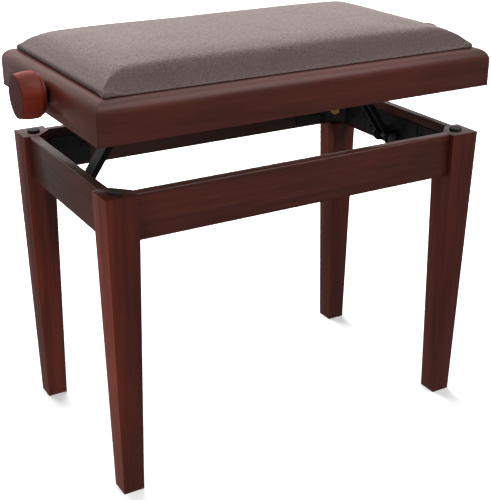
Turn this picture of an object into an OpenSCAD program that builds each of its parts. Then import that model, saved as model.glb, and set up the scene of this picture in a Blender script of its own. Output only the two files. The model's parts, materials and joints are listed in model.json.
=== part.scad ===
// Height-adjustable piano bench.
// X runs along the bench, Y from front to rear, Z up. The origin is on the floor, under the seat's middle.
// The seat is drawn part way up its travel. The lift is drawn for the left end and mirrored for the right.

/* [Seat] */
// Length of the wooden seat frame
seat_len = 550; // [530:1:580]
// Depth of the wooden seat frame
seat_dep = 323; // [322:1:345]
// Height of the seat frame's underside above the floor
seat_z = 461.4; // [459:0.1:463]
// Height of the seat rails
seat_rail_h = 48.7; // [48:0.1:54]
// Thickness of the seat rails
seat_rail_t = 22; // [20:0.5:24]
// Radius of the rounded upper edge of the seat rails
seat_round = 16; // [8:0.5:18]
// Thickness of the plywood under the cushion
board_t = 9; // [8:0.5:10]
// Height of the cushion above the seat rails
pad_h = 31; // [20:0.5:45]

/* [Leg frame] */
// Length of the leg frame over the leg tops
frame_len = 536; // [530:1:545]
// Depth of the leg frame over the leg tops
frame_dep = 316.6; // [314:0.2:320]
// Height of the legs
leg_h = 398.6; // [396:0.1:399]
// Width of a leg at the top
leg_top = 41; // [38:0.5:44]
// Width of a leg at the floor
leg_foot = 27.6; // [24:0.2:32]
// Inward lean of a leg's outer end face
lean_x = 5.7; // [0:0.1:8]
// Inward lean of a leg's outer front or rear face
lean_y = 7.8; // [0:0.1:9]
// Width of the chamfer on a leg's upper inner corner
chamfer = 19.5; // [16:0.5:20]
// Height of the apron rails
rail_h = 57.4; // [50:0.2:60]
// Thickness of the apron rails
rail_t = 12.5; // [11:0.5:13]
// Setback of an apron rail behind the face of the legs
rail_inset = 7.25; // [6:0.25:9]

/* [Lift] */
// Length of a lift arm between its base pivot and its spindle nut
arm_len = 156.5; // [155:0.5:158]
// Slope of a lift arm above the horizontal
arm_angle = 55.5; // [54.5:0.1:56.5]
// Distance of the base pivots from the middle of the bench
pivot_x = 236; // [235:0.5:237]
// Height of the spindle above the seat frame's underside
spindle_up = 24.6; // [24:0.1:25]
// Radius of the spindle
spindle_r = 5.5; // [5:0.1:6]
// Radius of the pivot pins
pin_r = 4; // [3.5:0.1:4.2]

/* [Knobs] */
// Radius of a knob
knob_r = 28.5; // [22:0.5:32]
// Thickness of a knob
knob_t = 30; // [24:0.5:32]
// Length of the neck between a knob and its bush
neck_len = 2.7; // [1:0.1:8]

/* [Hidden] */
$fn = 48;

LEFT = -1;
RIGHT = 1;
FRONT = -1;
REAR = 1;

// Colours
mahogany = [0.33, 0.13, 0.10];
black_steel = [0.09, 0.09, 0.10];
zinc = [0.62, 0.62, 0.60];
brass = [0.80, 0.63, 0.32];
rubber = [0.06, 0.06, 0.06];
plywood = [0.66, 0.50, 0.34];
taupe = [0.44, 0.37, 0.35];

// Leg frame
leg_cx = frame_len / 2 - leg_top / 2;
leg_cy = frame_dep / 2 - leg_top / 2;
inner_x = frame_len / 2 - leg_top;
inner_y = frame_dep / 2 - leg_top;
rail_z = leg_h - rail_h;
rail_out_x = frame_len / 2 - rail_inset;
rail_out_y = frame_dep / 2 - rail_inset;
rail_in_x = rail_out_x - rail_t;
rail_in_y = rail_out_y - rail_t;
rail_edge_r = 3;
housing = 1.5;
tenon_len = 13;
tenon_t = 6;
tenon_drop = 7;
chamfer_z = rail_z + 4.1;
runout_z = rail_z - 19.6;
runout_w = 10.5;
runout_step = 2;
thin = 0.01;
bumper_r = 8.25;
bumper_h = 3;

// Corner brackets: a bent strip lying on two rails and on the leg's chamfer
plate_t = 2;
plate_z = rail_z + 4.6;
plate_h = 40;
tab_len = 54;
diagonal = inner_x + inner_y + chamfer;
bend_x = diagonal - rail_in_y;
bend_y = diagonal - rail_in_x;
bend_step = plate_t * tan(22.5);
hanger_x = (bend_x + rail_in_x) / 2;
hanger_y = (bend_y + rail_in_y) / 2;
hanger_z = plate_z + plate_h / 2;
hanger_in = 24;
hanger_nut_w = 13;
hanger_nut_h = 6.5;
hanger_out = hanger_nut_h + 0.8;
screw_r = 2;
screw_head_r = 4;
screw_head_h = 2.4;
screw_len = 9;
// Two screws a tab, as [distance from the bend, height above the plate's lower edge]
tab_screws = [[17, 11], [46, 25]];

// Lift
spindle_z = seat_z + spindle_up;
pivot_z = spindle_z - arm_len * sin(arm_angle);
nut_x = pivot_x - arm_len * cos(arm_angle);
running = 0.05;
bar_t = 2.5;
nut_half_y = 7.5;
nut_half_z = 9;
arm_y = 8;
link_y = 11.1;
ear_y = 14.2;
arm_w = 18;
arm_neck = 8;
// Webs of a lift arm, as [start, end] along its length
lower_web = [14, 66];
upper_web = [90, 112];
link_w = 15;
slot_in = 3.7;
slot_out = 4.8;
slot_r = pin_r + 1.05;
ear_slot_down = 3.8;
ear_slot_up = 3;
ear_slot_r = pin_r + 0.3;
base_plate_t = 2.5;
base_half_y = 60;
pivot_bolt_len = 42;
pivot_nut_w = 13;
pivot_nut_h = 5;
lock_nut_w = 12;
lock_nut_h = 4.5;
side_gap = 0.3;
// Screws of a base bracket, as [distance from the middle, height above the plate's lower edge]
base_screws = [[50, 10], [30, 30]];

// Seat
in_x = seat_len / 2 - seat_rail_t;
in_y = seat_dep / 2 - seat_rail_t;
rail_top_z = seat_z + seat_rail_h;
board_z = rail_top_z - board_t;
block_w = 42;
block_screw_in = 12;
block_sink = 4;
block_head_h = 3;
block_screw_up = 6;
bracket_plate_t = 2.5;
bracket_in_x = 200;
bracket_out_x = 251;
bracket_half_y = 32;
bracket_screw_x = [208, 241];
bracket_screw_y = 26;
bush_r = 9;
flange_r = 12;
flange_t = 2.3;
collar_r = 9;
collar_t = 8;

// Cushion: its setback from the seat's outer faces, the gap under its edge and the cover's thickness
pad_inset = seat_round + 0.4;
seam = 0.6;
skin = 1.5;
pad_plate = 1;
// Layers of the cushion, as [setback from its lower edge, share of its rise, corner radius]
pad_layers = [[0, 0, 3], [10, 0.45, 5], [27, 0.78, 9], [52, 0.93, 12], [90, 1, 12]];

// Knobs
neck_x = seat_len / 2 + flange_t + 0.3;
knob_x = neck_x + neck_len;
knob_bore = 15;
knob_edge_r = 4;
knob_back_r = 9;
knob_crown_r = 60;
knob_crown_up = 13;
grub_x = knob_x + 6;
grub_r = 1.5;
grub_len = 10;

// ---------- Helpers ----------

// Mirrors a shape drawn for the left to the right end
module end_side(side) {
    if (side == RIGHT) mirror([1, 0, 0]) children(); else children();
}

// Mirrors a shape drawn for the right rear corner to any corner
module corner(sx, sy) {
    flip_x = sx == LEFT ? 1 : 0;
    flip_y = sy == FRONT ? 1 : 0;
    mirror([flip_x, 0, 0]) mirror([0, flip_y, 0]) children();
}

module all_corners() {
    for (sx = [LEFT, RIGHT], sy = [FRONT, REAR]) corner(sx, sy) children();
}

// A shape in the XZ plane, thickened along Y from y0 to y0 + t
module slab_y(y0, t) {
    translate([0, y0 + t, 0]) rotate([90, 0, 0]) linear_extrude(t) children();
}

// The same slab on both sides of the middle plane
module pair_y(y0, t) {
    slab_y(y0, t) children();
    slab_y(-y0 - t, t) children();
}

// A cylinder along Y, centred on the middle plane
module rod_y(r, len) {
    rotate([90, 0, 0]) cylinder(r = r, h = len, center = true);
}

// A cylinder along X from x0 to x0 + len
module rod_x(r, x0, len) {
    translate([x0, 0, 0]) rotate([0, 90, 0]) cylinder(r = r, h = len);
}

// A hexagonal nut with its axis along Y, from y0 to y0 + t
module hex_y(flats, bore_r, y0, t) {
    translate([0, y0 + t, 0]) rotate([90, 0, 0]) difference() {
        cylinder(r = flats / 2 / cos(30), h = t, $fn = 6);
        translate([0, 0, -1]) cylinder(r = bore_r, h = t + 2);
    }
}

// A pan head screw: head above the plane Z = 0, shank below it
module pan_screw(len) {
    cylinder(r1 = screw_head_r, r2 = screw_head_r - 1.2, h = screw_head_h, $fn = 32);
    translate([0, 0, -len]) cylinder(r = screw_r, h = len, $fn = 24);
}

module screw_hole(len) {
    translate([0, 0, -len]) cylinder(r = screw_r, h = len + 1, $fn = 24);
}

// ---------- Leg frame ----------

module leg_profile(out_top, lean) {
    out_foot = out_top - lean;
    polygon([[out_top - leg_top, leg_h], [out_top, leg_h], [out_foot, 0], [out_foot - leg_foot, 0]]);
}

// The blank of the right rear leg
module leg_blank() {
    spare = 10;
    intersection() {
        translate([0, frame_dep / 2 + spare, 0]) rotate([90, 0, 0])
            linear_extrude(leg_top + 2 * spare) leg_profile(frame_len / 2, lean_x);
        translate([frame_len / 2 - leg_top - spare, 0, 0]) rotate([90, 0, 90])
            linear_extrude(leg_top + 2 * spare) leg_profile(frame_dep / 2, lean_y);
    }
}

// The corner waste in plan, cut at 45 degrees, at a given width
module chamfer_waste(width) {
    over = 6;
    polygon([
        [inner_x + width + over, inner_y - over],
        [inner_x - over, inner_y + width + over],
        [inner_x - over, inner_y - over]
    ]);
}

// A thin layer of the corner waste
module waste_layer(z, width) {
    translate([0, 0, z]) linear_extrude(thin) chamfer_waste(width);
}

module chamfer_cut() {
    translate([0, 0, chamfer_z]) linear_extrude(leg_h) chamfer_waste(chamfer);
    hull() {
        waste_layer(chamfer_z, chamfer);
        waste_layer(chamfer_z - runout_step, runout_w);
    }
    hull() {
        waste_layer(chamfer_z - runout_step, runout_w);
        waste_layer(runout_z, 0);
    }
}

// The hanger bolt's axis, from the inner face of a corner bracket into the leg
module on_hanger_axis() {
    translate([hanger_x, hanger_y, hanger_z]) rotate([0, 90, 45]) children();
}

module leg(sx, sy) {
    color(mahogany) corner(sx, sy) difference() {
        leg_blank();
        chamfer_cut();
        rail_x_solid();
        rail_y_solid();
        on_hanger_axis() cylinder(r = pin_r, h = hanger_in);
    }
}

// Outline of an apron rail across its length, outer face at 0 and inner face at rail_t
module rail_outline() {
    square([rail_t, rail_h - rail_edge_r]);
    translate([rail_edge_r, 0]) square([rail_t - rail_edge_r, rail_h]);
    translate([rail_edge_r, rail_h - rail_edge_r]) circle(r = rail_edge_r);
}

// Rear rail with both tenons, running along X
module rail_x_solid() {
    len = 2 * (inner_x + housing);
    translate([-len / 2, rail_out_y, rail_z]) mirror([0, 1, 0]) rotate([90, 0, 90])
        linear_extrude(len) rail_outline();
    translate([-len / 2 - tenon_len, rail_out_y - rail_t / 2 - tenon_t / 2, rail_z + tenon_drop])
        cube([len + 2 * tenon_len, tenon_t, rail_h - 2 * tenon_drop]);
}

// Right rail with both tenons, running along Y
module rail_y_solid() {
    len = 2 * (inner_y + housing);
    translate([rail_out_x, -len / 2, rail_z]) mirror([1, 0, 0]) mirror([0, 1, 0]) rotate([90, 0, 0])
        linear_extrude(len) rail_outline();
    translate([rail_out_x - rail_t / 2 - tenon_t / 2, -len / 2 - tenon_len, rail_z + tenon_drop])
        cube([tenon_t, len + 2 * tenon_len, rail_h - 2 * tenon_drop]);
}

module rail_along_x(sy) {
    color(mahogany) corner(RIGHT, sy) difference() {
        rail_x_solid();
        for (sx = [LEFT, RIGHT]) corner(sx, REAR) tab_x_screws() screw_hole(screw_len);
    }
}

module rail_along_y(sx) {
    color(mahogany) corner(sx, REAR) difference() {
        rail_y_solid();
        for (sy = [FRONT, REAR]) corner(RIGHT, sy) tab_y_screws() screw_hole(screw_len);
        mirror([1, 0, 0]) base_plate_screws() screw_hole(screw_len);
    }
}

// Places children on the bracket tab that lies on the rail along X, Z pointing into the room
module tab_x_screws() {
    for (s = tab_screws)
        translate([bend_x - s[0], rail_in_y - plate_t, plate_z + s[1]]) rotate([90, 0, 0]) children();
}

// Places children on the bracket tab that lies on the rail along Y
module tab_y_screws() {
    for (s = tab_screws)
        translate([rail_in_x - plate_t, bend_y - s[0], plate_z + s[1]]) rotate([0, -90, 0]) children();
}

module corner_bracket(sx, sy) {
    color(black_steel) corner(sx, sy) difference() {
        translate([0, 0, plate_z]) linear_extrude(plate_h) polygon([
            [bend_x - tab_len, rail_in_y], [bend_x, rail_in_y],
            [rail_in_x, bend_y], [rail_in_x, bend_y - tab_len],
            [rail_in_x - plate_t, bend_y - tab_len], [rail_in_x - plate_t, bend_y - bend_step],
            [bend_x - bend_step, rail_in_y - plate_t], [bend_x - tab_len, rail_in_y - plate_t]
        ]);
        tab_x_screws() screw_hole(screw_len);
        tab_y_screws() screw_hole(screw_len);
        on_hanger_axis() translate([0, 0, -hanger_out]) cylinder(r = pin_r, h = hanger_in);
    }
}

module hanger_bolts() {
    color(zinc) all_corners() on_hanger_axis()
        translate([0, 0, -plate_t - hanger_out]) cylinder(r = pin_r, h = hanger_out + plate_t + hanger_in);
}

module hanger_nuts() {
    color(brass) all_corners() on_hanger_axis() translate([0, 0, -plate_t - hanger_nut_h]) difference() {
        cylinder(r = hanger_nut_w / 2 / cos(30), h = hanger_nut_h, $fn = 6);
        translate([0, 0, -1]) cylinder(r = pin_r, h = hanger_nut_h + 2);
    }
}

module corner_screws() {
    color(zinc) all_corners() {
        tab_x_screws() pan_screw(screw_len);
        tab_y_screws() pan_screw(screw_len);
    }
}

module leg_bumpers() {
    color(rubber) all_corners() translate([leg_cx, leg_cy, leg_h]) rotate_extrude($fn = 48) {
        square([bumper_r, bumper_h - 1]);
        square([bumper_r - 1, bumper_h]);
        translate([bumper_r - 1, bumper_h - 1]) circle(r = 1, $fn = 24);
    }
}

// ---------- Lift ----------

// Places children at the base pivot of the left end
module at_base_pivot() {
    translate([-pivot_x, 0, pivot_z]) children();
}

// Places children at the middle pivot of the left arm
module at_middle_pivot() {
    at_base_pivot() rotate([0, -arm_angle, 0]) translate([arm_len / 2, 0, 0]) children();
}

// Places children at the upper end of the left link, on the spindle's level
module at_link_top() {
    translate([-pivot_x, 0, spindle_z]) children();
}

module base_plate_screws() {
    for (s = base_screws, sy = [FRONT, REAR])
        translate([-rail_in_x + base_plate_t, sy * s[0], plate_z + s[1]]) rotate([0, 90, 0]) children();
}

// A steel plate on the left rail, with two ears for the base pivot
module base_bracket(side) {
    ear_r = 10.5;
    ear_root = rail_in_x - pivot_x;
    color(black_steel) end_side(side) difference() {
        union() {
            translate([-rail_in_x, -base_half_y, plate_z]) cube([base_plate_t, 2 * base_half_y, plate_h]);
            at_base_pivot() pair_y(link_y, bar_t) {
                circle(r = ear_r);
                translate([-ear_root, -ear_r]) square([ear_root, 2 * ear_r]);
            }
        }
        at_base_pivot() rod_y(pin_r, pivot_bolt_len);
        base_plate_screws() screw_hole(screw_len);
    }
}

module base_bracket_screws() {
    color(zinc) for (side = [LEFT, RIGHT]) end_side(side) base_plate_screws() pan_screw(screw_len);
}

module base_pivot(side) {
    color(zinc) end_side(side) at_base_pivot() rod_y(pin_r, pivot_bolt_len);
}

module base_pivot_nuts() {
    color(zinc) for (side = [LEFT, RIGHT], sy = [FRONT, REAR])
        end_side(side) corner(RIGHT, sy) at_base_pivot()
            hex_y(pivot_nut_w, pin_r, link_y + bar_t, pivot_nut_h);
}

// One side bar of a lift arm: a slender lower half between two eyes, then a broad slotted upper half
module arm_outline() {
    end_x = arm_len + slot_out;
    difference() {
        union() {
            circle(r = arm_w / 2);
            translate([0, -arm_neck / 2]) square([arm_len / 2, arm_neck]);
            translate([arm_len / 2, 0]) circle(r = arm_w / 2);
            translate([arm_len / 2, -arm_w / 2]) square([end_x - arm_len / 2, arm_w]);
            translate([end_x, 0]) circle(r = arm_w / 2);
        }
        circle(r = pin_r + running);
        translate([arm_len / 2, 0]) circle(r = pin_r);
        translate([arm_len - slot_in, 0]) circle(r = slot_r);
        translate([end_x, 0]) circle(r = slot_r);
        translate([arm_len - slot_in, -slot_r]) square([slot_in + slot_out, 2 * slot_r]);
    }
}

// A web across both side bars of a lift arm, ending flush with their upper edge
module arm_web(span, width) {
    translate([span[0], -arm_y - bar_t, width / 2 - bar_t])
        cube([span[1] - span[0], 2 * (arm_y + bar_t), bar_t]);
}

// Two side bars joined by webs along their upper edge
module lift_arm(side) {
    color(black_steel) end_side(side) at_base_pivot() rotate([0, -arm_angle, 0]) {
        pair_y(arm_y, bar_t) arm_outline();
        arm_web(lower_web, arm_neck);
        arm_web(upper_web, arm_w);
    }
}

module middle_pin(side) {
    pin_end = 6;
    color(zinc) end_side(side) at_middle_pivot() rod_y(pin_r, 2 * (link_y + bar_t + pin_end));
}

module middle_nuts(side) {
    color(zinc) end_side(side) for (sy = [FRONT, REAR])
        corner(RIGHT, sy) at_middle_pivot() hex_y(lock_nut_w, pin_r, link_y + bar_t + side_gap, lock_nut_h);
}

module link_outline() {
    len = arm_len / 2;
    difference() {
        union() {
            circle(r = link_w / 2);
            translate([0, -link_w / 2]) square([len, link_w]);
            translate([len, 0]) circle(r = link_w / 2);
        }
        circle(r = pin_r + running);
        translate([len, 0]) circle(r = pin_r);
    }
}

// Two side bars from the middle pivot up to the seat bracket, joined by a bridge
module link(side) {
    bridge_start = 28;
    bridge_end = 42;
    color(black_steel) end_side(side) at_middle_pivot() rotate([0, 2 * arm_angle - 180, 0]) {
        pair_y(link_y, bar_t) link_outline();
        translate([bridge_start, -link_y - bar_t, -bar_t / 2])
            cube([bridge_end - bridge_start, 2 * (link_y + bar_t), bar_t]);
    }
}

// Headed stub pins, one on each side of the spindle
module link_pins(side) {
    head_y = ear_y + bar_t + side_gap;
    head_r = 6;
    head_t = 2.2;
    color(zinc) end_side(side) for (sy = [FRONT, REAR]) corner(RIGHT, sy) at_link_top() {
        slab_y(link_y, head_y - link_y) circle(r = pin_r);
        slab_y(head_y, head_t) circle(r = head_r);
    }
}

module spindle_nut(side) {
    block_x = 24;
    color(brass) end_side(side) translate([-nut_x, 0, spindle_z]) difference() {
        union() {
            cube([block_x, 2 * nut_half_y, 2 * nut_half_z], center = true);
            rod_y(pin_r, 2 * (arm_y + bar_t + side_gap));
        }
        rod_x(spindle_r + running, -block_x, 2 * block_x);
    }
}

// ---------- Spindle and knobs ----------

module spindle() {
    end_x = knob_x + knob_bore;
    color(zinc) translate([0, 0, spindle_z]) rod_x(spindle_r, -end_x, 2 * end_x);
}

module shaft_collars() {
    color(zinc) for (side = [LEFT, RIGHT]) end_side(side) translate([0, 0, spindle_z]) difference() {
        rod_x(collar_r, -in_x + 0.5, collar_t);
        rod_x(spindle_r, -in_x - 1, collar_t + 4);
    }
}

module neck_collar(side) {
    color(black_steel) end_side(side) translate([0, 0, spindle_z]) difference() {
        rod_x(bush_r, -knob_x, neck_len);
        rod_x(spindle_r, -knob_x - 1, neck_len + 2);
    }
}

// Half outline of the knob, turned about its axis: flat cap, crowned rim, well rounded back
module knob_outline() {
    difference() {
        intersection() {
            union() {
                square([knob_r - knob_edge_r, knob_t]);
                translate([0, knob_back_r]) square([knob_r, knob_t - knob_edge_r - knob_back_r]);
                translate([knob_r - knob_edge_r, knob_t - knob_edge_r]) circle(r = knob_edge_r);
                square([knob_r - knob_back_r, knob_back_r]);
                translate([knob_r - knob_back_r, knob_back_r]) circle(r = knob_back_r);
            }
            translate([knob_r - knob_crown_r, knob_crown_up]) circle(r = knob_crown_r, $fn = 128);
        }
        square([spindle_r, knob_bore]);
        translate([-knob_r, -1]) square([knob_r, knob_t + 2]);
    }
}

module knob(side) {
    color(mahogany) end_side(side) difference() {
        translate([-knob_x, 0, spindle_z]) rotate([0, -90, 0]) rotate_extrude($fn = 96) knob_outline();
        translate([-grub_x, 0, spindle_z]) cylinder(r = grub_r, h = knob_r + 1, $fn = 24);
    }
}

// Grub screws that lock the knobs to the spindle
module knob_pins() {
    color(zinc) for (side = [LEFT, RIGHT]) end_side(side)
        translate([-grub_x, 0, spindle_z + spindle_r]) cylinder(r = grub_r, h = grub_len, $fn = 24);
}

module bush(side) {
    color(rubber) end_side(side) translate([0, 0, spindle_z]) difference() {
        union() {
            rod_x(bush_r, -seat_len / 2, seat_rail_t);
            rod_x(flange_r, -seat_len / 2 - flange_t, flange_t);
        }
        rod_x(spindle_r + running, -seat_len, seat_len);
    }
}

// ---------- Seat ----------

module bracket_screws() {
    for (x = bracket_screw_x, sy = [FRONT, REAR])
        translate([-x, sy * bracket_screw_y, board_z - bracket_plate_t]) rotate([180, 0, 0]) children();
}

// A steel plate under the board, with two slotted ears for the link pins
module seat_bracket(side) {
    ear_half_x = 12;
    ear_drop = 15;
    ear_bottom = spindle_z - ear_drop;
    plate_bottom = board_z - bracket_plate_t;
    color(black_steel) end_side(side) difference() {
        union() {
            translate([-bracket_out_x, -bracket_half_y, plate_bottom])
                cube([bracket_out_x - bracket_in_x, 2 * bracket_half_y, bracket_plate_t]);
            pair_y(ear_y, bar_t) translate([-pivot_x - ear_half_x, ear_bottom])
                square([2 * ear_half_x, plate_bottom - ear_bottom]);
        }
        at_link_top() pair_y(ear_y - 1, bar_t + 2) {
            translate([0, -ear_slot_down]) circle(r = ear_slot_r);
            translate([0, ear_slot_up]) circle(r = ear_slot_r);
            translate([-ear_slot_r, -ear_slot_down]) square([2 * ear_slot_r, ear_slot_down + ear_slot_up]);
        }
        bracket_screws() screw_hole(screw_len);
    }
}

module seat_bracket_screws() {
    color(zinc) for (side = [LEFT, RIGHT]) end_side(side) bracket_screws() pan_screw(screw_len - 1);
}

// Outline of a seat rail across its length, outer face at 0 and inner face at seat_rail_t
module seat_rail_outline() {
    square([seat_rail_t, seat_rail_h - seat_round]);
    translate([seat_round, 0]) square([seat_rail_t - seat_round, seat_rail_h]);
    translate([seat_round, seat_rail_h - seat_round]) circle(r = seat_round, $fn = 64);
}

// Keeps one mitred side of a frame: half length hx along the side, its outer face at -hy
module mitre(hx, hy) {
    in_hx = hx - seat_rail_t;
    in_hy = hy - seat_rail_t;
    translate([0, 0, seat_z - 1]) linear_extrude(seat_rail_h + 2)
        polygon([[-hx, -hy], [hx, -hy], [in_hx, -in_hy], [-in_hx, -in_hy]]);
}

module seat_rail_long(sy) {
    color(mahogany) corner(RIGHT, sy) mirror([0, 1, 0]) intersection() {
        translate([-seat_len / 2, -seat_dep / 2, seat_z]) rotate([90, 0, 90])
            linear_extrude(seat_len) seat_rail_outline();
        mitre(seat_len / 2, seat_dep / 2);
    }
}

module seat_rail_short(side) {
    color(mahogany) end_side(side) difference() {
        intersection() {
            translate([-seat_len / 2, seat_dep / 2, seat_z]) rotate([90, 0, 0])
                linear_extrude(seat_dep) seat_rail_outline();
            rotate([0, 0, -90]) mitre(seat_dep / 2, seat_len / 2);
        }
        translate([0, 0, spindle_z]) rod_x(bush_r, -seat_len, seat_len);
    }
}

module at_block_screws() {
    all_corners() translate([in_x - block_screw_in, in_y - block_screw_in, seat_z]) children();
}

module corner_blocks() {
    color(plywood) difference() {
        all_corners() translate([in_x, in_y, seat_z]) linear_extrude(board_z - seat_z)
            polygon([[0, 0], [-block_w, 0], [0, -block_w]]);
        at_block_screws() translate([0, 0, -1]) cylinder(r = screw_head_r, h = block_sink + 1);
        at_block_screws() translate([0, 0, -1]) cylinder(r = screw_r, h = board_z - seat_z + 2);
    }
}

module block_screws() {
    color(zinc) at_block_screws() {
        translate([0, 0, block_sink - block_head_h]) cylinder(r = screw_head_r, h = block_head_h);
        translate([0, 0, block_sink])
            cylinder(r = screw_r, h = board_z - seat_z - block_sink + block_screw_up);
    }
}

module seat_board() {
    gap = 0.5;
    color(plywood) difference() {
        translate([-in_x + gap, -in_y + gap, board_z]) cube([2 * (in_x - gap), 2 * (in_y - gap), board_t]);
        at_block_screws() cylinder(r = screw_r, h = board_z - seat_z + block_screw_up);
        for (side = [LEFT, RIGHT]) end_side(side) bracket_screws() screw_hole(screw_len - 1);
    }
}

// A thin plate with rounded corners, set in from the seat frame's outer faces
module pad_layer(inset, z, r) {
    hx = seat_len / 2 - inset - r;
    hy = seat_dep / 2 - inset - r;
    hull() for (x = [-hx, hx], y = [-hy, hy]) translate([x, y, z]) cylinder(r = r, h = pad_plate, $fn = 24);
}

// The cushion's body: a steep skirt that rolls over into a broad, nearly flat crown
module pad(inset, z, top) {
    rise = top - z - pad_plate;
    hull() for (layer = pad_layers) pad_layer(inset + layer[0], z + layer[1] * rise, layer[2]);
}

module foam_body() {
    pad(pad_inset + skin, rail_top_z + seam, rail_top_z + pad_h - skin);
}

module seat_foam() {
    color(taupe) foam_body();
}

module seat_cover() {
    color(taupe) difference() {
        pad(pad_inset, rail_top_z + seam, rail_top_z + pad_h);
        foam_body();
        translate([0, 0, -pad_plate]) foam_body();
    }
}

// ---------- Nodes ----------

leg(LEFT, FRONT);  // leg_front_left
leg(RIGHT, FRONT);  // leg_front_right
leg(LEFT, REAR);  // leg_rear_left
leg(RIGHT, REAR);  // leg_rear_right
rail_along_x(FRONT);  // rail_front
rail_along_x(REAR);  // rail_rear
rail_along_y(LEFT);  // rail_left
rail_along_y(RIGHT);  // rail_right
corner_bracket(LEFT, FRONT);  // corner_bracket_front_left
corner_bracket(RIGHT, FRONT);  // corner_bracket_front_right
corner_bracket(LEFT, REAR);  // corner_bracket_rear_left
corner_bracket(RIGHT, REAR);  // corner_bracket_rear_right
hanger_bolts();
hanger_nuts();
corner_screws();
leg_bumpers();
base_bracket(LEFT);  // base_bracket_left
base_bracket(RIGHT);  // base_bracket_right
base_bracket_screws();
base_pivot(LEFT);  // base_pivot_left
base_pivot(RIGHT);  // base_pivot_right
base_pivot_nuts();
lift_arm(LEFT);  // lift_arm_left
lift_arm(RIGHT);  // lift_arm_right
middle_pin(LEFT);  // middle_pin_left
middle_pin(RIGHT);  // middle_pin_right
middle_nuts(LEFT);  // middle_nuts_left
middle_nuts(RIGHT);  // middle_nuts_right
link(LEFT);  // link_left
link(RIGHT);  // link_right
link_pins(LEFT);  // link_pins_left
link_pins(RIGHT);  // link_pins_right
spindle_nut(LEFT);  // spindle_nut_left
spindle_nut(RIGHT);  // spindle_nut_right
spindle();
shaft_collars();
neck_collar(LEFT);  // neck_collar_left
neck_collar(RIGHT);  // neck_collar_right
knob(LEFT);  // knob_left
knob(RIGHT);  // knob_right
knob_pins();
bush(LEFT);  // bush_left
bush(RIGHT);  // bush_right
seat_bracket(LEFT);  // seat_bracket_left
seat_bracket(RIGHT);  // seat_bracket_right
seat_bracket_screws();
seat_rail_long(FRONT);  // seat_rail_front
seat_rail_long(REAR);  // seat_rail_rear
seat_rail_short(LEFT);  // seat_rail_left
seat_rail_short(RIGHT);  // seat_rail_right
corner_blocks();
block_screws();
seat_board();
seat_foam();
seat_cover();
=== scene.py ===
import json
import math

import bmesh
import bpy
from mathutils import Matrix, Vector, kdtree, noise

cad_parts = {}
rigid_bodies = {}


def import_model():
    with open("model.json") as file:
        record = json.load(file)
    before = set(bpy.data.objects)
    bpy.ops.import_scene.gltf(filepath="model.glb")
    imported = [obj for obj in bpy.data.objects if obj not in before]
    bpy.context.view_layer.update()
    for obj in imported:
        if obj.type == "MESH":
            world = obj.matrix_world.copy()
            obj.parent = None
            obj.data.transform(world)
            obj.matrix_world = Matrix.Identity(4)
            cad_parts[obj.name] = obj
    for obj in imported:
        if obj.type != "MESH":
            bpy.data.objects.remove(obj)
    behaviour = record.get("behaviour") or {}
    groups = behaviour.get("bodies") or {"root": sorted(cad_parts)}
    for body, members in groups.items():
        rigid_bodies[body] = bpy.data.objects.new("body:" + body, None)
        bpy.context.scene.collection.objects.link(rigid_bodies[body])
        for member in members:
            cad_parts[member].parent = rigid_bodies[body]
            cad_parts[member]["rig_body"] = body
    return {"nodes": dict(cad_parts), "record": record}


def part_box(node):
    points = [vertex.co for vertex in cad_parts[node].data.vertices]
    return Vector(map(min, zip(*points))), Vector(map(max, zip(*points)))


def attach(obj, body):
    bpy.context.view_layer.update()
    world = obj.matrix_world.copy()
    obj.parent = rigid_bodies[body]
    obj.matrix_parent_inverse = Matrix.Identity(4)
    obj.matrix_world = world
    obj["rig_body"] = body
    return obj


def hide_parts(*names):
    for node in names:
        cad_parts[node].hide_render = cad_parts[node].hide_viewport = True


MM = 0.001
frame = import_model()
nodes = frame["nodes"]
scene = bpy.context.scene
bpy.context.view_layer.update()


# ---------- Materials ----------

def new_material(name):
    """An empty node material with a Principled shader, as (material, nodes, links, shader)."""
    mat = bpy.data.materials.new(name)
    mat.use_nodes = True
    tree = mat.node_tree
    tree.nodes.clear()
    out = tree.nodes.new("ShaderNodeOutputMaterial")
    shader = tree.nodes.new("ShaderNodeBsdfPrincipled")
    tree.links.new(shader.outputs["BSDF"], out.inputs["Surface"])
    return mat, tree.nodes, tree.links, shader


def object_coords(nds, lnk, scale):
    """The row frame's coordinates, scaled along X, Y and Z."""
    coord = nds.new("ShaderNodeTexCoord")
    mapping = nds.new("ShaderNodeMapping")
    mapping.inputs["Scale"].default_value = scale
    lnk.new(coord.outputs["Object"], mapping.inputs["Vector"])
    return mapping.outputs["Vector"]


def noise_node(nds, lnk, vector, scale, detail, roughness, distortion=0.0):
    """Noise from 0 to 1, with scale waves to the metre."""
    tex = nds.new("ShaderNodeTexNoise")
    tex.inputs["Scale"].default_value = scale
    tex.inputs["Detail"].default_value = detail
    tex.inputs["Roughness"].default_value = roughness
    tex.inputs["Distortion"].default_value = distortion
    lnk.new(vector, tex.inputs["Vector"])
    return tex.outputs["Fac"]


def ramp_node(nds, lnk, fac, stops):
    """A colour ramp; stops are (position, (r, g, b)) or (position, grey)."""
    ramp = nds.new("ShaderNodeValToRGB")
    while len(ramp.color_ramp.elements) < len(stops):
        ramp.color_ramp.elements.new(0.5)
    for element, (pos, col) in zip(ramp.color_ramp.elements, stops):
        element.position = pos
        rgb = (col, col, col) if isinstance(col, float) else col
        element.color = (*rgb, 1.0)
    lnk.new(fac, ramp.inputs["Fac"])
    return ramp.outputs["Color"]


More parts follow.
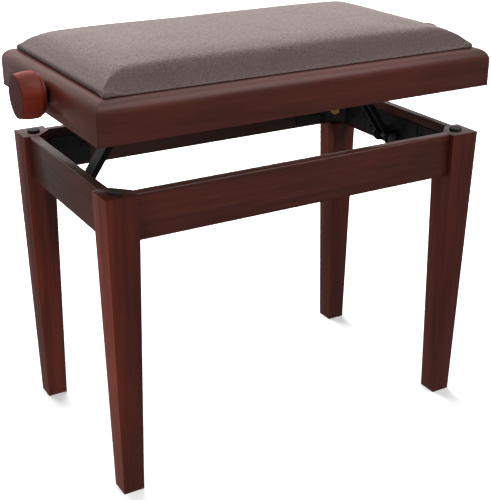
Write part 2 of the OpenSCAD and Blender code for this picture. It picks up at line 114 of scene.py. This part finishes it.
def mix_colour(nds, lnk, fac, a, b, mode="MIX"):
    """Mixes two colour sockets; fac is a socket or a number."""
    mix = nds.new("ShaderNodeMix")
    mix.data_type = "RGBA"
    mix.blend_type = mode
    if isinstance(fac, float):
        mix.inputs["Factor"].default_value = fac
    else:
        lnk.new(fac, mix.inputs["Factor"])
    lnk.new(a, mix.inputs["A"])
    lnk.new(b, mix.inputs["B"])
    return mix.outputs["Result"]


def bump_node(nds, lnk, height, strength, distance, normal=None):
    """The normal tilted by a height, on top of an earlier bump if one is given."""
    bump = nds.new("ShaderNodeBump")
    bump.inputs["Strength"].default_value = strength
    bump.inputs["Distance"].default_value = distance
    lnk.new(height, bump.inputs["Height"])
    if normal is not None:
        lnk.new(normal, bump.inputs["Normal"])
    return bump.outputs["Normal"]


# Noise coordinates squeezed along the grain, which draws the noise out into streaks.
ALONG = {"X": (0.05, 1.0, 1.0), "Y": (1.0, 0.05, 1.0), "Z": (1.0, 1.0, 0.05)}


def facing(nds, lnk, axis):
    """How far the surface faces along an axis, from -1 to 1."""
    split = nds.new("ShaderNodeSeparateXYZ")
    lnk.new(nds.new("ShaderNodeTexCoord").outputs["Normal"], split.inputs["Vector"])
    return split.outputs[axis]


def end_grain(nds, lnk, grain):
    """1 on a face that cuts across the grain, 0 on one along it."""
    size = nds.new("ShaderNodeMath")
    size.operation = "ABSOLUTE"
    lnk.new(facing(nds, lnk, grain), size.inputs[0])
    return size.outputs["Value"]


def stained_wood(name, grain, dark, mid, light, gloss, lacquer=1.0):
    """Red-brown stained wood under a satin lacquer, with its grain along one axis."""
    mat, nds, lnk, shader = new_material(name)
    stretched = object_coords(nds, lnk, ALONG[grain])
    plain = object_coords(nds, lnk, (1.0, 1.0, 1.0))
    figure = noise_node(nds, lnk, stretched, 55.0, detail=5.0, roughness=0.62, distortion=0.35)
    streaks = noise_node(nds, lnk, stretched, 420.0, detail=4.0, roughness=0.7)
    pores = noise_node(nds, lnk, stretched, 1500.0, detail=2.0, roughness=0.5)
    cloud = noise_node(nds, lnk, plain, 7.0, detail=2.0, roughness=0.5)
    base = ramp_node(nds, lnk, figure, [(0.30, dark), (0.52, mid), (0.74, light)])
    fine = ramp_node(nds, lnk, streaks, [(0.30, 0.62), (0.62, 1.0)])
    pits = ramp_node(nds, lnk, pores, [(0.34, 0.55), (0.44, 1.0)])
    patch = ramp_node(nds, lnk, cloud, [(0.35, (0.86, 0.90, 0.92)), (0.65, (1.12, 1.0, 0.97))])
    colour = mix_colour(nds, lnk, 0.45, base, fine, "MULTIPLY")
    colour = mix_colour(nds, lnk, 0.35, colour, pits, "MULTIPLY")
    colour = mix_colour(nds, lnk, 0.8, colour, patch, "MULTIPLY")
    cut = ramp_node(nds, lnk, end_grain(nds, lnk, grain), [(0.80, 1.0), (0.97, 0.45)])
    colour = mix_colour(nds, lnk, 1.0, colour, cut, "MULTIPLY")
    lnk.new(colour, shader.inputs["Base Color"])
    rough = ramp_node(nds, lnk, streaks, [(0.3, gloss + 0.10), (0.7, gloss)])
    lnk.new(rough, shader.inputs["Roughness"])
    shader.inputs["Coat Weight"].default_value = 0.30 * lacquer
    shader.inputs["Coat Roughness"].default_value = 0.14
    shader.inputs["Specular IOR Level"].default_value = 0.35 * lacquer
    normal = bump_node(nds, lnk, streaks, strength=0.10, distance=0.0004)
    normal = bump_node(nds, lnk, pores, strength=0.08, distance=0.0003, normal=normal)
    lnk.new(normal, shader.inputs["Normal"])
    return mat


def bare_wood(name, grain, dark, light):
    """Unfinished wood or plywood."""
    mat, nds, lnk, shader = new_material(name)
    stretched = object_coords(nds, lnk, ALONG[grain])
    figure = noise_node(nds, lnk, stretched, 70.0, detail=5.0, roughness=0.65, distortion=0.5)
    fine = noise_node(nds, lnk, stretched, 600.0, detail=3.0, roughness=0.6)
    colour = ramp_node(nds, lnk, figure, [(0.3, dark), (0.7, light)])
    shade = ramp_node(nds, lnk, fine, [(0.3, 0.75), (0.6, 1.0)])
    colour = mix_colour(nds, lnk, 0.5, colour, shade, "MULTIPLY")
    lnk.new(colour, shader.inputs["Base Color"])
    shader.inputs["Roughness"].default_value = 0.75
    lnk.new(bump_node(nds, lnk, fine, strength=0.15, distance=0.0004), shader.inputs["Normal"])
    return mat


def painted_steel(name, colour, roughness):
    """Satin black paint with a faint orange-peel surface."""
    mat, nds, lnk, shader = new_material(name)
    plain = object_coords(nds, lnk, (1.0, 1.0, 1.0))
    peel = noise_node(nds, lnk, plain, 900.0, detail=2.0, roughness=0.5)
    wear = noise_node(nds, lnk, plain, 60.0, detail=4.0, roughness=0.6)
    darker = tuple(0.6 * c for c in colour)
    lnk.new(ramp_node(nds, lnk, wear, [(0.35, darker), (0.7, colour)]), shader.inputs["Base Color"])
    rough = ramp_node(nds, lnk, wear, [(0.3, roughness + 0.1), (0.7, roughness - 0.05)])
    lnk.new(rough, shader.inputs["Roughness"])
    lnk.new(bump_node(nds, lnk, peel, strength=0.12, distance=0.0003), shader.inputs["Normal"])
    return mat


def metal(name, dark, light, roughness):
    """Bare or plated metal with fine handling marks."""
    mat, nds, lnk, shader = new_material(name)
    plain = object_coords(nds, lnk, (1.0, 1.0, 1.0))
    cloud = noise_node(nds, lnk, plain, 120.0, detail=5.0, roughness=0.6)
    marks = noise_node(nds, lnk, plain, 1400.0, detail=2.0, roughness=0.5)
    lnk.new(ramp_node(nds, lnk, cloud, [(0.3, dark), (0.7, light)]), shader.inputs["Base Color"])
    rough = ramp_node(nds, lnk, cloud, [(0.3, roughness + 0.12), (0.7, roughness)])
    lnk.new(rough, shader.inputs["Roughness"])
    shader.inputs["Metallic"].default_value = 1.0
    lnk.new(bump_node(nds, lnk, marks, strength=0.06, distance=0.0002), shader.inputs["Normal"])
    return mat


def dull(name, colour, roughness, grain_scale):
    """Rubber, nylon or foam: one hue with a fine uneven surface."""
    mat, nds, lnk, shader = new_material(name)
    plain = object_coords(nds, lnk, (1.0, 1.0, 1.0))
    grain = noise_node(nds, lnk, plain, grain_scale, detail=3.0, roughness=0.6)
    darker = tuple(0.7 * c for c in colour)
    lnk.new(ramp_node(nds, lnk, grain, [(0.35, darker), (0.65, colour)]), shader.inputs["Base Color"])
    shader.inputs["Roughness"].default_value = roughness
    lnk.new(bump_node(nds, lnk, grain, strength=0.2, distance=0.0005), shader.inputs["Normal"])
    return mat


def painted_sheen_speckle(nds, lnk, place, even_grey):
    """Painted sheen: coarse light and dark specks on up-facing surfaces, which give way to an even grey on
    the slopes.
    """
    coarse = noise_node(nds, lnk, place, 330.0, detail=2.0, roughness=0.7)
    specks = ramp_node(nds, lnk, coarse, [(0.36, 0.52), (0.64, 1.0)])
    # Mask of the painted sheen: 1 where the surface faces up, 0 on the slopes.
    flat = ramp_node(nds, lnk, facing(nds, lnk, "Z"), [(0.62, 0.0), (0.99, 1.0)])
    even = nds.new("ShaderNodeRGB").outputs["Color"]
    even.default_value = (even_grey, even_grey, even_grey, 1.0)
    return mix_colour(nds, lnk, flat, even, specks)


def velour(name):
    """Short taupe pile: light and dark flecks, coarser specks of painted sheen on up-facing surfaces, a soft
    sheen and faint brushed clouds.
    """
    mat, nds, lnk, shader = new_material(name)
    plain = object_coords(nds, lnk, (1.0, 1.0, 1.0))
    fleck = noise_node(nds, lnk, plain, 700.0, detail=3.0, roughness=0.8)
    pile = noise_node(nds, lnk, plain, 2600.0, detail=2.0, roughness=0.6)
    cloud = noise_node(nds, lnk, plain, 16.0, detail=3.0, roughness=0.5, distortion=0.6)
    tone = ramp_node(nds, lnk, fleck, [
        (0.34, (0.109, 0.076, 0.071)),
        (0.50, (0.156, 0.111, 0.105)),
        (0.66, (0.224, 0.169, 0.162)),
    ])
    shade = ramp_node(nds, lnk, cloud, [(0.35, 0.90), (0.65, 1.0)])
    hair = ramp_node(nds, lnk, pile, [(0.35, 0.80), (0.60, 1.0)])
    colour = mix_colour(nds, lnk, 0.7, tone, shade, "MULTIPLY")
    colour = mix_colour(nds, lnk, 0.5, colour, hair, "MULTIPLY")
    # Painted sheen: coarse specks on the up-facing pile, an even grey on the slopes.
    colour = mix_colour(nds, lnk, 1.0, colour, painted_sheen_speckle(nds, lnk, plain, 0.76), "MULTIPLY")
    lnk.new(colour, shader.inputs["Base Color"])
    shader.inputs["Roughness"].default_value = 0.85
    shader.inputs["Specular IOR Level"].default_value = 0.25
    shader.inputs["Sheen Weight"].default_value = 0.16
    shader.inputs["Sheen Roughness"].default_value = 0.40
    shader.inputs["Sheen Tint"].default_value = (0.97, 0.95, 0.95, 1.0)
    normal = bump_node(nds, lnk, fleck, strength=0.25, distance=0.0006)
    normal = bump_node(nds, lnk, pile, strength=0.25, distance=0.0003, normal=normal)
    lnk.new(normal, shader.inputs["Normal"])
    return mat


# Each stain is the wood's colour in the dark, the middle and the light of its figure.
RED_STAIN = ((0.048, 0.0090, 0.0055), (0.092, 0.0160, 0.0092), (0.130, 0.0245, 0.0140))
WARM_STAIN = ((0.048, 0.0118, 0.0080), (0.090, 0.0205, 0.0130), (0.126, 0.0310, 0.0198))
# The umber tone is the short end rails' stain; on the rear rail it is painted shade, darker than the other
# long rails.
UMBER_STAIN_AND_SHADE = ((0.032, 0.0115, 0.0085), (0.050, 0.0180, 0.0135), (0.072, 0.0260, 0.0190))
BROWN_STAIN = ((0.052, 0.0120, 0.0080), (0.082, 0.0190, 0.0125), (0.115, 0.0280, 0.0185))
KNOB_STAIN = ((0.090, 0.0120, 0.0060), (0.142, 0.0195, 0.0095), (0.190, 0.0320, 0.0155))
mahogany_legs = stained_wood("mahogany_legs", "Z", *RED_STAIN, 0.36)
mahogany_long = stained_wood("mahogany_long", "X", *WARM_STAIN, 0.36)
mahogany_ends = stained_wood("mahogany_ends", "Y", *BROWN_STAIN, 0.36)
mahogany_short = stained_wood("mahogany_short", "Y", *UMBER_STAIN_AND_SHADE, 0.36)
# Painted shade: the rear rail takes the darker umber tone of the shaded space under the seat.
mahogany_rear_painted_shade = stained_wood("mahogany_rear_painted_shade", "X", *UMBER_STAIN_AND_SHADE, 0.36)
knob_wood = stained_wood("knob_wood", "X", *KNOB_STAIN, 0.34, lacquer=0.45)
beech = bare_wood("beech", "X", (0.36, 0.23, 0.13), (0.50, 0.34, 0.20))
plywood = bare_wood("plywood", "X", (0.40, 0.27, 0.16), (0.55, 0.40, 0.25))
black_steel = painted_steel("black_steel", (0.0085, 0.0088, 0.0092), 0.36)
zinc_steel = metal("zinc_steel", (0.30, 0.30, 0.29), (0.48, 0.48, 0.46), 0.34)
brass = metal("brass", (0.62, 0.42, 0.16), (0.86, 0.62, 0.28), 0.22)
rubber = dull("rubber", (0.022, 0.023, 0.022), 0.62, 700.0)
black_nylon = dull("black_nylon", (0.020, 0.020, 0.021), 0.45, 500.0)
foam = dull("foam", (0.70, 0.62, 0.42), 0.95, 400.0)
fabric = velour("cushion_velour")


# ---------- Mesh helpers ----------

def mesh_object(name, verts, faces, material):
    """A new smooth-shaded object with one material."""
    mesh = bpy.data.meshes.new(name)
    mesh.from_pydata(verts, [], faces)
    mesh.validate()
    mesh.materials.append(material)
    obj = bpy.data.objects.new(name, mesh)
    scene.collection.objects.link(obj)
    for poly in mesh.polygons:
        poly.use_smooth = True
    return obj


def apply_modifiers(obj):
    """Puts the result of obj's modifiers in its own mesh and removes them."""
    graph = bpy.context.evaluated_depsgraph_get()
    result = bpy.data.meshes.new_from_object(obj.evaluated_get(graph))
    obj.modifiers.clear()
    obj.data = result


def shade_by_angle(mesh, degrees):
    """Smooth shading, with edges sharper than the angle kept crisp."""
    limit = math.radians(degrees)
    work = bmesh.new()
    work.from_mesh(mesh)
    for face in work.faces:
        face.smooth = True
    for edge in work.edges:
        edge.smooth = len(edge.link_faces) == 2 and edge.calc_face_angle(0.0) < limit
    work.to_mesh(mesh)
    work.free()


def eased(node, material, width):
    """A copy of a CAD node with its sharp edges rounded over, which stands for the node."""
    mesh = nodes[node].data.copy()
    work = bmesh.new()
    work.from_mesh(mesh)
    bmesh.ops.remove_doubles(work, verts=work.verts, dist=1e-6)
    bmesh.ops.dissolve_limit(work, angle_limit=math.radians(0.5), verts=work.verts, edges=work.edges)
    work.to_mesh(mesh)
    work.free()
    mesh.materials.clear()
    mesh.materials.append(material)
    obj = bpy.data.objects.new(node + "_eased", mesh)
    scene.collection.objects.link(obj)
    bevel = obj.modifiers.new("edges", "BEVEL")
    bevel.width = width
    bevel.segments = 3
    bevel.limit_method = "ANGLE"
    bevel.angle_limit = math.radians(32)
    apply_modifiers(obj)
    shade_by_angle(obj.data, 40)
    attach(obj, nodes[node]["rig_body"])
    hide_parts(node)


# ---------- Stained wood ----------

LEG_EASING = 1.0 * MM
RAIL_EASING = 0.7 * MM
KNOB_EASING = 0.6 * MM


def build_wood():
    """Every stained piece in a tone of its own and with its grain along its length; the rear rail's darker
    umber tone is painted shade.
    """
    for node in ("leg_front_left", "leg_front_right", "leg_rear_left", "leg_rear_right"):
        eased(node, mahogany_legs, LEG_EASING)
    for node in ("rail_front", "seat_rail_front", "seat_rail_rear"):
        eased(node, mahogany_long, RAIL_EASING)
    # Painted shade: the rear rail gets the darker umber tone instead of the long rails' warm one.
    eased("rail_rear", mahogany_rear_painted_shade, RAIL_EASING)
    for node in ("seat_rail_left", "seat_rail_right"):
        eased(node, mahogany_ends, RAIL_EASING)
    for node in ("rail_left", "rail_right"):
        eased(node, mahogany_short, RAIL_EASING)
    for node in ("knob_left", "knob_right"):
        eased(node, knob_wood, KNOB_EASING)


# ---------- Other CAD nodes ----------

CAD_FINISH = {
    "black_steel": black_steel,
    "zinc_steel": zinc_steel,
    "brass": brass,
    "rubber": rubber,
    "black_nylon": black_nylon,
    "beech": beech,
    "plywood": plywood,
    "foam": foam,
    "cushion_fabric": fabric,
    "mahogany": mahogany_long,
    "knob_wood": knob_wood,
}


def finish_cad_nodes():
    """Gives every CAD node the material of its slot. The eased pieces and the cushion then stand for some."""
    for part in frame["record"]["subparts"]:
        obj = nodes[part["node"]]
        obj.data.materials.clear()
        obj.data.materials.append(CAD_FINISH[part["material_slot"]])


# ---------- Cushion ----------

# The seat's outline and top come from its front rail, whose low corner is the seat's own.
seat_low, seat_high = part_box("seat_rail_front")
EDGE_INSET = 16.3 * MM
SEAM_GAP = 0.25 * MM
LOWER_Z = seat_high.z + SEAM_GAP
PAD_HALF_X = -seat_low.x - EDGE_INSET
PAD_HALF_Y = -seat_low.y - EDGE_INSET
LIP = 1.25 * MM
PAD_RISE = 26.2 * MM
CROWN = 1.6 * MM
END_LIP = 5.0 * MM
END_TUCK = 2.4 * MM
CORNER_LENGTH = 25 * MM

# Each curve of the profiles rises over a reach, more steeply with a higher power.
LIP_REACH = 1.0 * MM
ROLL_REACH, ROLL_POWER = 14.5 * MM, 1.45
FLARE_REACH, FLARE_POWER = 13.5 * MM, 1.9
END_REACH, END_POWER = 17.2 * MM, 1.35
CORNER_LIP_LENGTH = 35 * MM

# The crease starts to fade at this share of the rise, over this share more.
CREASE_FROM = 0.52
CREASE_FADE = 0.74

# Mesh counts: points along a long side, along a short side and round a corner; rings; crowding to the edge.
FINE_MESH = ((120, 80, 4), 80, 1.7)
COARSE_MESH = ((64, 36, 2), 26, 1.15)
CAP_HALF_WIDTH = 2 * MM


def smooth_step(t):
    """0 below 0, 1 above 1, and a smooth rise between."""
    t = min(max(t, 0.0), 1.0)
    return t * t * (3 - 2 * t)


def rising(inset, reach, power=1.0):
    """0 at the lower edge, nearly 1 a few reaches in from it."""
    return 1 - math.exp(-((inset / reach) ** power))


def front_height(inset, from_end):
    """Height along the front and rear: a flared skirt, a roll, then a nearly flat top."""
    lip = END_LIP * (1 - smooth_step(from_end / CORNER_LIP_LENGTH))
    roll = rising(inset, ROLL_REACH, ROLL_POWER)
    flare = rising(inset, FLARE_REACH, FLARE_POWER)
    return lip * rising(inset, LIP_REACH) + (PAD_RISE - lip) * roll * flare


def end_height(inset):
    """Height along the two ends: an upright lip, then one soft rounding."""
    rounding = rising(inset, END_REACH, END_POWER)
    return END_LIP * rising(inset, LIP_REACH) + (PAD_RISE - END_LIP) * rounding


def pad_height(x, y):
    """Height over the lip. The sides meet in a crease at each corner, which fades out on its way up."""
    inset_x = max(PAD_HALF_X - abs(x), 0.0)
    inset_y = max(PAD_HALF_Y - abs(y), 0.0)
    front = front_height(inset_y, inset_x)
    end = end_height(inset_x)
    lower = min(front, end)
    fade = smooth_step((lower / PAD_RISE - CREASE_FROM) / CREASE_FADE)
    height = (1 - fade) * lower + fade * front * end / PAD_RISE
    across = math.sin(0.5 * math.pi * inset_y / PAD_HALF_Y)
    along = math.sin(0.5 * math.pi * min(inset_x / PAD_HALF_Y, 1.0))
    return height + CROWN * across * along * height / PAD_RISE


def contour(inset, side_x, side_y, arc):
    """One closed ring of plan points, set in from the cushion's lower edge, closest near its corners."""
    hx, hy = PAD_HALF_X - inset, PAD_HALF_Y - inset
    r = min(1.2 * MM + 0.3 * inset, 0.98 * hy)
    corners = [(hx - r, hy - r), (r - hx, hy - r), (r - hx, r - hy), (hx - r, r - hy)]
    points = []
    for i, (cx, cy) in enumerate(corners):
        for k in range(arc + 1):
            a = math.radians(90 * (i + k / arc))
            points.append((cx + r * math.cos(a), cy + r * math.sin(a)))
        nx, ny = corners[(i + 1) % 4]
        a = math.radians(90 * (i + 1))
        start = Vector((cx + r * math.cos(a), cy + r * math.sin(a)))
        end = Vector((nx + r * math.cos(a), ny + r * math.sin(a)))
        count = side_x if i % 2 == 0 else side_y
        for k in range(1, count):
            p = start.lerp(end, 0.5 - 0.5 * math.cos(math.pi * k / count))
            points.append((p.x, p.y))
    return points


def pad_ring(inset, counts):
    """The contour at the cushion's height."""
    return [(x, y, LOWER_Z + LIP + pad_height(x, y)) for x, y in contour(inset, *counts)]


def flat_ring(inset, z, counts):
    """The contour at one height."""
    return [(x, y, z) for x, y in contour(inset, *counts)]


def cap_faces(first, counts):
    """Closes the last ring, which is long and narrow: each point joins its mirror image across the middle."""
    side_x, side_y, arc = counts
    n = 4 * (arc + 1) + 2 * (side_x - 1) + 2 * (side_y - 1)
    mirror = [(n - side_y - j) % n for j in range(n)]
    last = side_x + 2 * arc
    faces = [(j, j + 1, mirror[j + 1], mirror[j]) for j in range(1, last - 1)]
    faces.append((0, 1, *range(mirror[1], n)))
    faces.append(tuple(range(last - 1, mirror[last - 1] + 1)))
    return [tuple(first + j for j in face) for face in faces]


def cushion_shell(counts, steps, crowding):
    """The tailored shape, as rings from the underside over the lower edge up to the middle."""
    rings = [flat_ring(4 * MM, LOWER_Z, counts), flat_ring(0.7 * MM, LOWER_Z, counts)]
    rings.append(flat_ring(0.05 * MM, LOWER_Z + 0.35 * LIP, counts))
    for k in range(steps + 1):
        rings.append(pad_ring((PAD_HALF_Y - CAP_HALF_WIDTH) * (k / steps) ** crowding, counts))
    n = len(rings[0])
    verts = [point for ring in rings for point in ring]
    faces = []
    for i in range(len(rings) - 1):
        for j in range(n):
            a, b = i * n + j, i * n + (j + 1) % n
            faces.append((a, b, b + n, a + n))
    top = (len(rings) - 1) * n
    faces.append(tuple(reversed(range(n))))
    faces += cap_faces(top, counts)
    obj = mesh_object("cushion", verts, faces, fabric)
    work = bmesh.new()
    work.from_mesh(obj.data)
    caps = [f for f in work.faces if len(f.verts) > 4]
    bmesh.ops.triangulate(work, faces=caps, quad_method="BEAUTY", ngon_method="BEAUTY")
    bmesh.ops.recalc_face_normals(work, faces=work.faces)
    work.to_mesh(obj.data)
    work.free()
    return obj


def tuck_ends(obj):
    """Draws the foot of both ends in under their lip, between the corners."""
    for v in obj.data.vertices:
        if PAD_HALF_X - abs(v.co.x) > PAD_HALF_Y - abs(v.co.y):
            continue
        below = max(1 - (v.co.z - LOWER_Z) / END_LIP, 0.0)
        between = smooth_step((PAD_HALF_Y - abs(v.co.y)) / CORNER_LENGTH)
        v.co.x -= math.copysign(END_TUCK * below * between, v.co.x)


def soften(obj):
    """Low, uneven lumps of the filling, which fade out at the lower edge."""
    depth = 0.6 * MM
    lumps_per_metre = 9
    layer = 3.1
    for v in obj.data.vertices:
        rise = smooth_step((v.co.z - LOWER_Z) / (14 * MM))
        lump = noise.noise(Vector((v.co.x * lumps_per_metre, v.co.y * lumps_per_metre, layer)))
        v.co.z += rise * depth * lump


def inflate(obj):
    """Presses the cover outwards with a short cloth simulation, its lower edge held."""
    held = obj.vertex_groups.new(name="held")
    for v in obj.data.vertices:
        held.add([v.index], 1.0 - 0.999 * smooth_step((v.co.z - LOWER_Z - LIP) / (6 * MM)), "REPLACE")
    cloth = obj.modifiers.new("cloth", "CLOTH")
    cloth.settings.quality = 5
    cloth.settings.mass = 0.35
    cloth.settings.tension_stiffness = 25
    cloth.settings.compression_stiffness = 25
    cloth.settings.shear_stiffness = 12
    cloth.settings.bending_stiffness = 0.8
    cloth.settings.use_pressure = True
    cloth.settings.uniform_pressure_force = 4.0
    cloth.settings.vertex_group_mass = "held"
    cloth.settings.effector_weights.gravity = 0.0
    cloth.collision_settings.use_collision = False
    cloth.collision_settings.use_self_collision = False
    for number in range(1, 21):
        scene.frame_set(number)
    apply_modifiers(obj)
    scene.frame_set(1)


def swell(obj, cap, reach):
    """Fills the cover: a coarse copy takes the simulation, and the fine mesh follows it smoothly.

    No point of the copy counts for more than cap, and the tailored creases stay.
    """
    copy = cushion_shell(*COARSE_MESH)
    places = [v.co.copy() for v in copy.data.vertices]
    inflate(copy)
    tree = kdtree.KDTree(len(places))
    for i, place in enumerate(places):
        tree.insert(place, i)
    tree.balance()
    moves = []
    for v, place in zip(copy.data.vertices, places):
        move = v.co - place
        moves.append(move * min(1.0, cap / max(move.length, 1e-9)))
    for v in obj.data.vertices:
        total = Vector((0.0, 0.0, 0.0))
        weight = 1e-9
        for place, i, distance in tree.find_range(v.co, 2 * reach):
            share = math.exp(-((distance / reach) ** 2))
            total += moves[i] * share
            weight += share
        free = smooth_step((v.co.z - LOWER_Z - LIP) / (10 * MM))
        v.co += total * (free / weight)
    bpy.data.objects.remove(copy)


def build_cushion():
    """The tight velour pad, which stands for the foam and the cover."""
    obj = cushion_shell(*FINE_MESH)
    swell(obj, cap=1.6 * MM, reach=15 * MM)
    tuck_ends(obj)
    soften(obj)
    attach(obj, "seat")
    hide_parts("seat_cover", "seat_foam")


# ---------- Stage, light and camera ----------

def square(name, half, z, material):
    """A level square around the origin, for the stage."""
    corners = [(-half, -half, z), (half, -half, z), (half, half, z), (-half, half, z)]
    return mesh_object(name, corners, [(0, 1, 2, 3)], material)


def build_bounce():
    """A plane under the floor that only diffuse light sees: it sets how much light the floor gives back."""
    mat, nds, lnk, shader = new_material("bounce_grey")
    shader.inputs["Base Color"].default_value = (0.05, 0.05, 0.05, 1.0)
    shader.inputs["Emission Color"].default_value = (1.0, 0.97, 0.95, 1.0)
    shader.inputs["Emission Strength"].default_value = 0.16
    bounce = square("bounce", 8.0, -2.0 * MM, mat)
    bounce.visible_camera = False
    bounce.visible_glossy = False


def build_floor():
    """White paper, which glows less under the bench, so that the feet's shadows show."""
    mat, nds, lnk, shader = new_material("floor_white")
    shader.inputs["Base Color"].default_value = (0.54, 0.54, 0.54, 1.0)
    shader.inputs["Roughness"].default_value = 0.9
    shader.inputs["Specular IOR Level"].default_value = 0.1
    away = nds.new("ShaderNodeVectorMath")
    away.operation = "LENGTH"
    lnk.new(nds.new("ShaderNodeTexCoord").outputs["Object"], away.inputs[0])
    own_light = ramp_node(nds, lnk, away.outputs["Value"], [(0.35, 0.24), (1.0, 0.62)])
    lnk.new(own_light, shader.inputs["Emission Color"])
    shader.inputs["Emission Strength"].default_value = 1.0
    floor = square("floor", 20.0, -0.2 * MM, mat)
    floor.visible_glossy = False
    floor.visible_diffuse = False


def area_light(name, place, target, size, power):
    """A rectangular light that only diffuse surfaces see."""
    light = bpy.data.lights.new(name, "AREA")
    light.shape = "RECTANGLE"
    light.size, light.size_y = size
    light.energy = power
    obj = bpy.data.objects.new(name, light)
    obj.location = place
    obj.rotation_euler = (Vector(target) - Vector(place)).to_track_quat("-Z", "Y").to_euler()
    obj.visible_camera = False
    obj.visible_glossy = False
    scene.collection.objects.link(obj)


def glow(nds, lnk, direction, toward, stops):
    """A soft bright patch of sky around a direction."""
    dot = nds.new("ShaderNodeVectorMath")
    dot.operation = "DOT_PRODUCT"
    dot.inputs[1].default_value = toward
    lnk.new(direction, dot.inputs[0])
    return ramp_node(nds, lnk, dot.outputs["Value"], stops)


def build_world():
    """A dim studio, brightest low down behind the bench, with a soft light high in front."""
    world = bpy.data.worlds.new("studio")
    world.use_nodes = True
    nds = world.node_tree.nodes
    lnk = world.node_tree.links
    direction = nds.new("ShaderNodeTexCoord").outputs["Generated"]
    sky = glow(nds, lnk, direction, (0.0, 0.0, 1.0), [(0.0, 0.14), (0.3, 0.17), (0.8, 0.55), (1.0, 1.0)])
    rear = glow(nds, lnk, direction, (0.25, 0.86, 0.44), [(0.55, 0.0), (0.98, 0.55)])
    high = glow(nds, lnk, direction, (0.45, -0.38, 0.81), [(0.88, 0.0), (0.99, 1.7)])
    sky = mix_colour(nds, lnk, 1.0, sky, rear, "ADD")
    sky = mix_colour(nds, lnk, 1.0, sky, high, "ADD")
    lnk.new(sky, nds["Background"].inputs["Color"])
    nds["Background"].inputs["Strength"].default_value = 1.0
    scene.world = world


def build_light():
    """Key from behind, fill from high in front, and a small low light on the left front leg."""
    build_world()
    area_light("key", (0.15, 2.6, 1.75), target=(0, 0, 0.5), size=(3.2, 1.8), power=295)
    area_light("front_fill", (1.0, -2.0, 2.2), target=(0, 0, 0.3), size=(2.4, 0.5), power=37)
    area_light("low_side", (-0.62, -0.21, 0.12), target=(-0.22, -0.14, 0.2), size=(0.3, 0.3), power=2.4)


def build_camera():
    """The main view, from the left front and a little above the seat."""
    camera = bpy.data.cameras.new("camera")
    camera.sensor_width = 36.0
    camera.lens = 74.04
    obj = bpy.data.objects.new("camera", camera)
    obj.location = (-0.6641, -1.1543, 0.7981)
    obj.rotation_euler = (math.radians(66.68), 0.0, math.radians(-29.94))
    scene.collection.objects.link(obj)
    scene.camera = obj


scene.view_settings.view_transform = "Standard"
finish_cad_nodes()
build_wood()
build_cushion()
build_floor()
build_bounce()
build_light()
build_camera()

bpy.context.view_layer.update()
